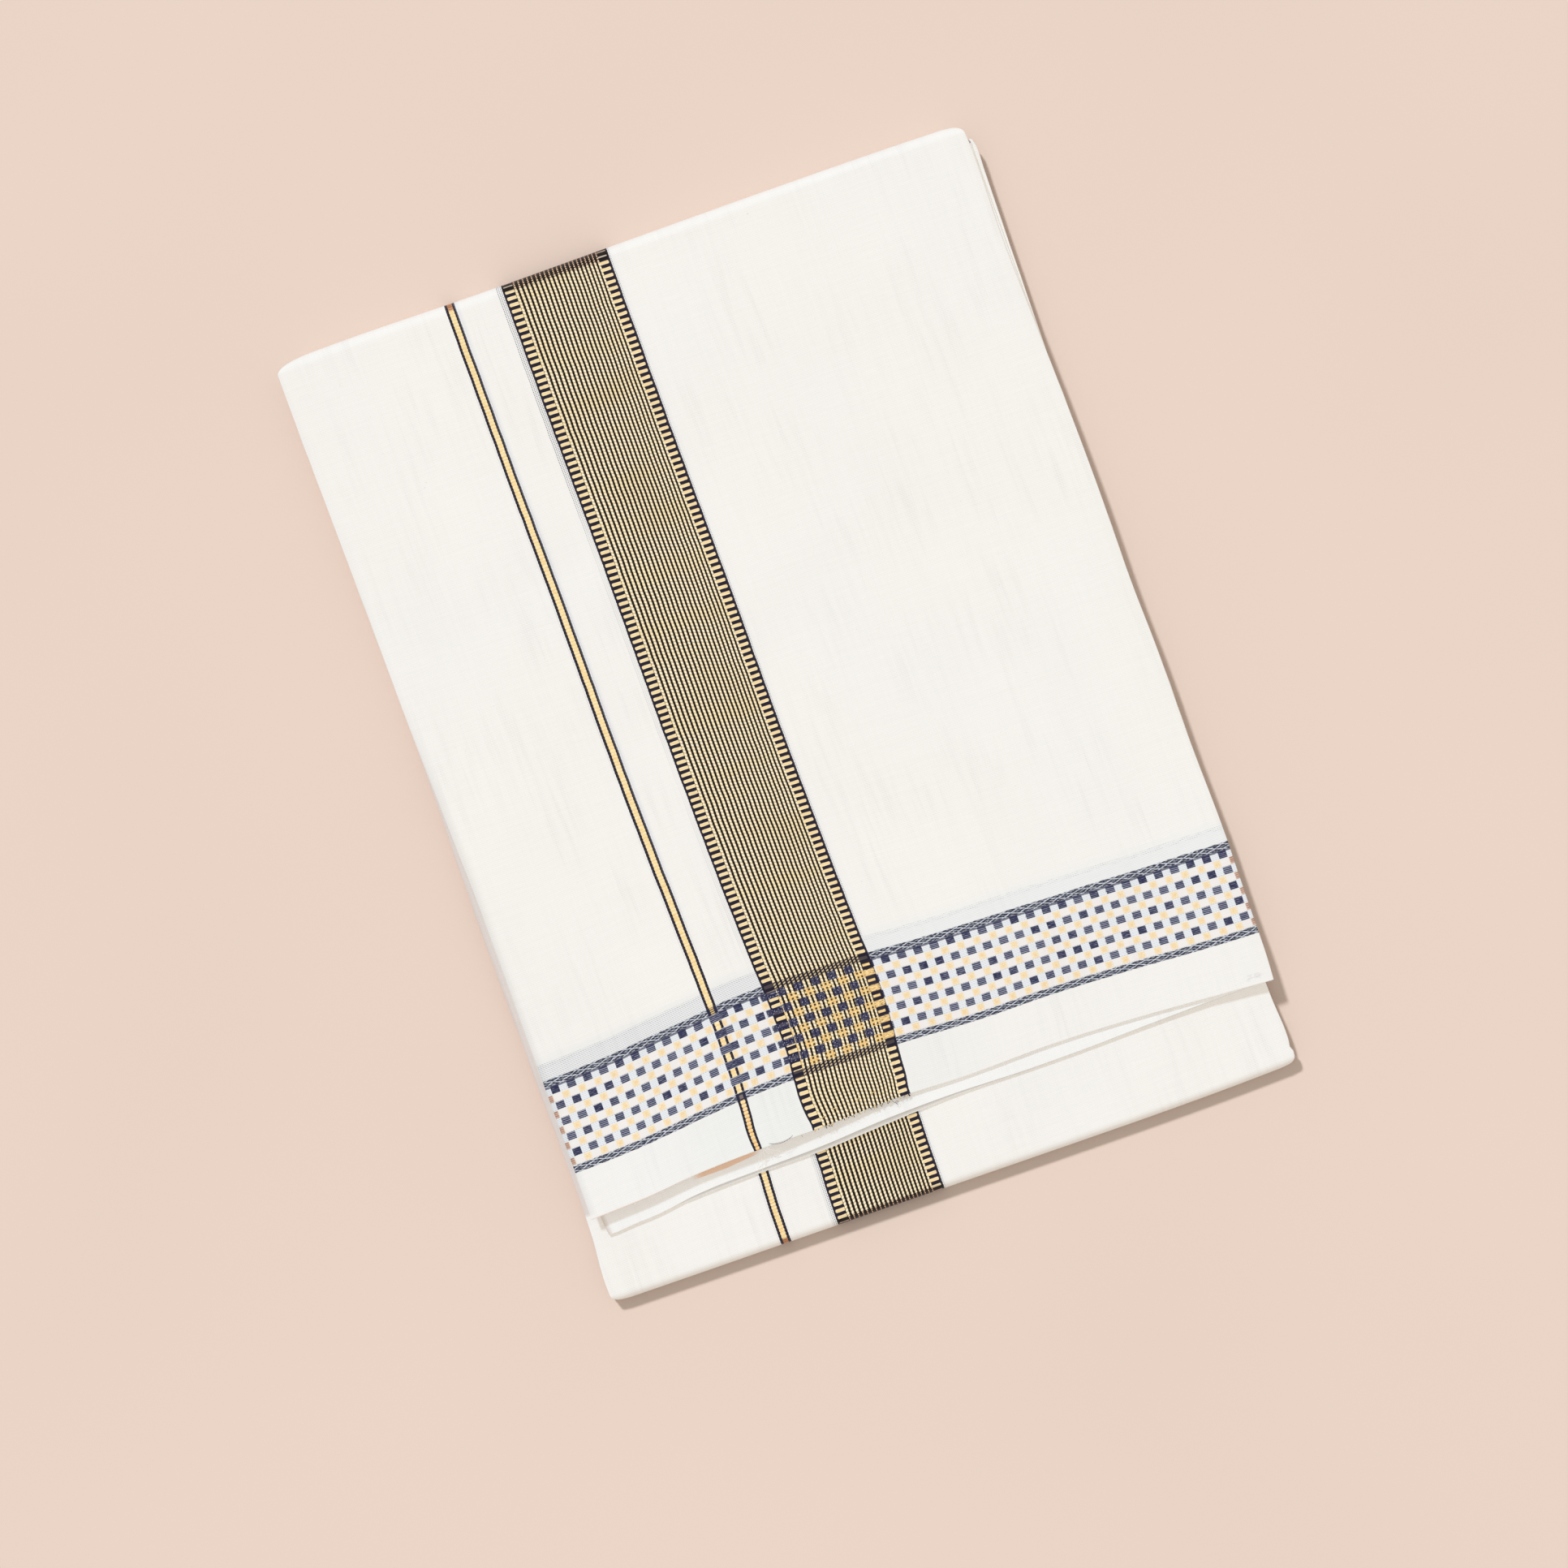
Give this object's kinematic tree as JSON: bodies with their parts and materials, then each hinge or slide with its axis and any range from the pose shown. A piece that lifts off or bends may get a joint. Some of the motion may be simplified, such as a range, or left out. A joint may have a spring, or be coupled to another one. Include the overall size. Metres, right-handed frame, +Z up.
{
  "type": "folded dhoti cloth",
  "caption": "Fine white cotton dhoti folded flat into a packet, with woven navy and gold borders and a checked band near its cut end.",
  "frame": {"origin": "middle of the packet's underside, on the surface it lies on", "axes": "+X across the packet, +Y along it towards the far fold, +Z up"},
  "size_m": [0.2577, 0.352, 0.0114],
  "materials": {
    "bordered_cotton": "matte fine cotton with navy, black and gold woven borders",
    "plain_end_cotton": "matte fine cotton",
    "striped_cotton": "matte fine cotton with navy, black and gold woven borders",
    "layered_cotton": "matte fine cotton, folded plies"
  },
  "bodies": {
    "root": {"top_stretch": "bordered_cotton", "second_end": "plain_end_cotton", "lower_stretch": "striped_cotton", "folded_layers": "layered_cotton"}
  },
  "joints": []
}
